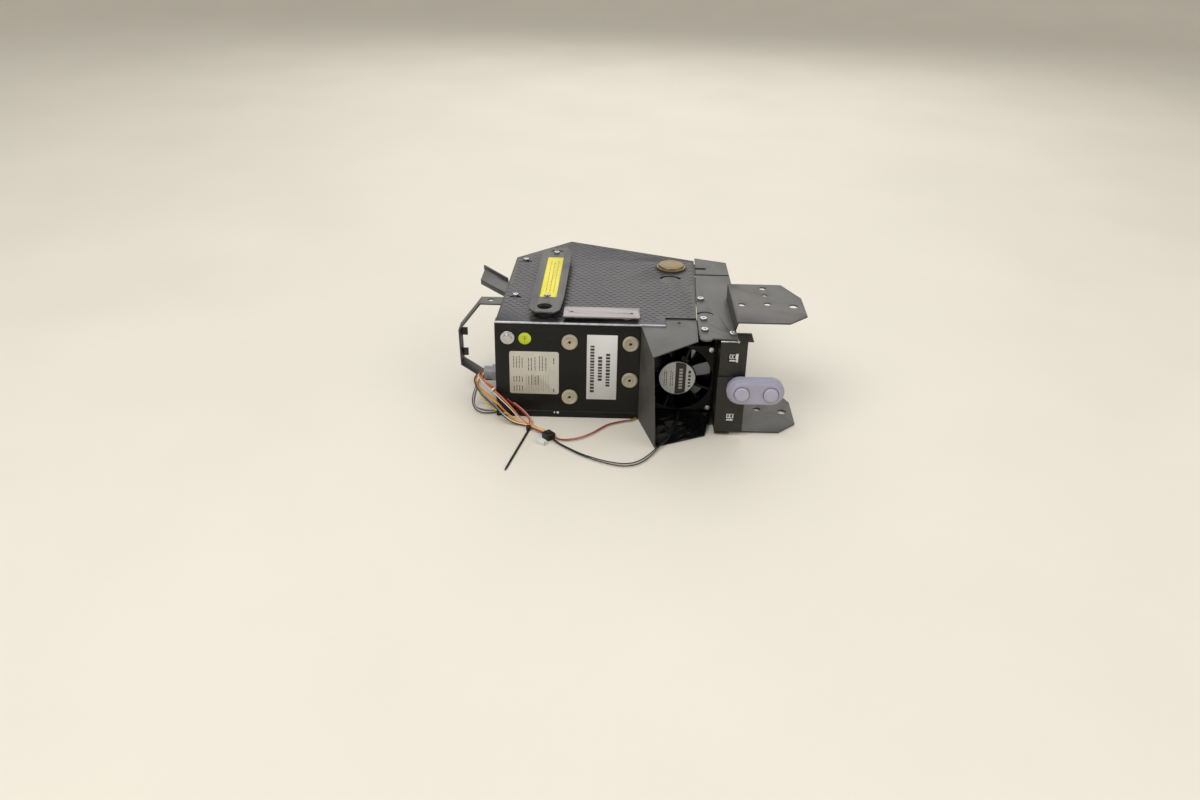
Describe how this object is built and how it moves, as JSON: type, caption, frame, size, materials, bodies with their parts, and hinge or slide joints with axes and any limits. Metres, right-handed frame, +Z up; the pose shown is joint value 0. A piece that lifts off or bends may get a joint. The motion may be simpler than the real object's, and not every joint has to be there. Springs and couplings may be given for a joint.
{
  "type": "dental x-ray tube head",
  "caption": "Oil-filled X-ray tube head with a patterned cover plate, a shrouded cooling fan, a two-ear mounting fork, a wiring harness and a two-button control.",
  "frame": {"origin": "centre of the tank's base rectangle, on the surface the head lies on", "axes": "+X towards the fork's ears, +Y from the labelled front face to the back, +Z up through the patterned top plate"},
  "size_m": [0.444, 0.4459, 0.153],
  "materials": {
    "cast_black": "satin",
    "gasket_rubber": "matte",
    "bare_aluminium": "satin",
    "zinc_screw": "satin",
    "lead_sheet": "dull",
    "tube_glass": "clear",
    "copper": "polished",
    "tungsten": "satin",
    "nickel": "satin",
    "insulator": "matte",
    "core_steel": "matte",
    "enamel_wire": "varnished",
    "board": "solder mask",
    "components": "glossy",
    "plug_bronze": "dull",
    "black_cover": "satin",
    "patterned_grey": "satin",
    "grey_sheet": "satin",
    "black_rubber": "matte",
    "bar_steel": "brushed",
    "clear_nylon": "translucent",
    "pad_resin": "matte",
    "cream_label": "paper",
    "white_label": "paper",
    "yellow_label": "film",
    "green_label": "film",
    "black_plastic": "moulded",
    "silver_label": "foil",
    "magnet": "matte",
    "shaft_steel": "polished",
    "control_grey": "moulded",
    "gland_grey": "moulded",
    "wire_pvc": "extruded",
    "wire_black": "extruded",
    "wire_red": "extruded",
    "connector_white": "moulded"
  },
  "bodies": {
    "root": {"tank_shell": "cast_black", "tank_gasket": "gasket_rubber", "tank_lid": "bare_aluminium", "lead_lining": "lead_sheet", "tube_glass": "tube_glass", "anode": "copper", "anode_target": "tungsten", "cathode_cup": "nickel", "tube_saddles": "insulator", "transformer_core": "core_steel", "primary_coil": "enamel_wire", "secondary_coil": "enamel_wire", "filament_transformer": "core_steel", "multiplier_board": "board", "multiplier_parts": "components", "expansion_bellows": "gasket_rubber", "beam_window": "insulator", "beam_flange": "bare_aluminium", "filler_plug": "plug_bronze", "front_cover": "black_cover", "top_plate": "patterned_grey", "cover_standoffs": "zinc_screw", "cover_screws": "zinc_screw", "side_arm": "grey_sheet", "guard_strap": "grey_sheet", "strap_plate": "grey_sheet", "strap_grommet": "black_rubber", "guide_bar": "bar_steel", "bar_standoffs": "clear_nylon", "front_pads": "pad_resin", "rating_label": "cream_label", "tube_label": "white_label", "strap_label": "yellow_label", "earth_sticker": "green_label", "top_bracket": "grey_sheet", "rear_bracket": "grey_sheet", "fork_base": "grey_sheet", "fork_web": "grey_sheet", "fork_upper_ear": "grey_sheet", "front_plate": "black_cover", "lower_plate": "black_cover", "fan_shroud": "grey_sheet", "shroud_floor": "black_plastic", "fan_frame": "black_plastic", "fan_stator": "enamel_wire", "fan_bearings": "shaft_steel", "fan_label": "silver_label", "control_case": "control_grey", "control_board": "board", "cable_gland": "gland_grey", "harness": "wire_pvc", "fan_leads": "wire_black", "sense_leads": "wire_red", "harness_ties": "black_plastic", "harness_connectors": "connector_white"},
    "fan_rotor": {"fan_impeller": "black_plastic", "fan_magnet": "magnet", "fan_shaft": "shaft_steel"},
    "button_left": {"button_left": "control_grey"},
    "button_right": {"button_right": "control_grey"}
  },
  "joints": [
    {"name": "fan_spin", "type": "hinge", "parent": "root", "child": "fan_rotor", "pos_m": [0.1033, -0.126, 0.061], "axis": [0, 1, 0], "continuous": true},
    {"name": "left_press", "type": "slide", "parent": "root", "child": "button_left", "axis": [0, 1, 0], "range_m": [0, 0.0015], "stiffness_N_per_m": 400},
    {"name": "right_press", "type": "slide", "parent": "root", "child": "button_right", "axis": [0, 1, 0], "range_m": [0, 0.0015], "stiffness_N_per_m": 400}
  ]
}
